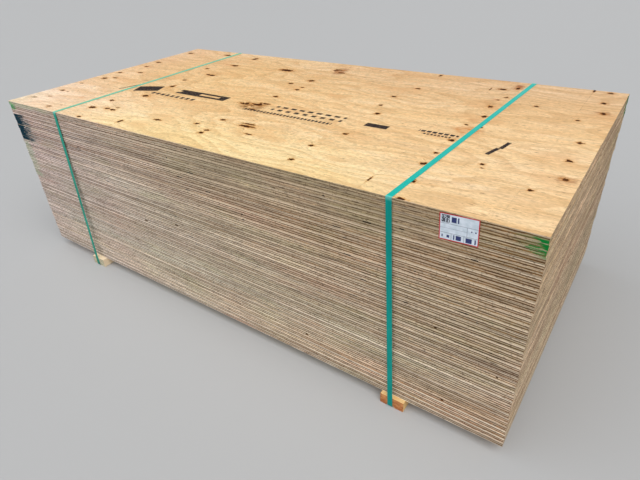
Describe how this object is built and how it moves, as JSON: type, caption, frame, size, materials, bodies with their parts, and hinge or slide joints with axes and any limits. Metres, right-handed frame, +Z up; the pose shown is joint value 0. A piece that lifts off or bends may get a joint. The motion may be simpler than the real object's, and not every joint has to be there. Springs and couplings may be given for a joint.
{
  "type": "stack of plywood sheets",
  "caption": "Strapped stack of full-size plywood sheets on timber runners, with a paper label, ready to be lifted with forks.",
  "frame": {"origin": "on the floor, under the middle of the stack", "axes": "+X along the long front side that carries the label, +Y away from that side, +Z up"},
  "size_m": [2.441, 1.2722, 0.805],
  "materials": {
    "plywood": "sawn edges, unfinished",
    "plywood_face": "sanded veneer, unfinished",
    "runner_timber": "planed softwood, unfinished",
    "strap_plastic": "embossed plastic strap",
    "label_paper": "printed paper"
  },
  "bodies": {
    "root": {"sheets": "plywood", "top_sheet": "plywood_face", "runner_left": "runner_timber", "runner_right": "runner_timber", "strap_left": "strap_plastic", "strap_right": "strap_plastic", "label": "label_paper"}
  },
  "joints": []
}
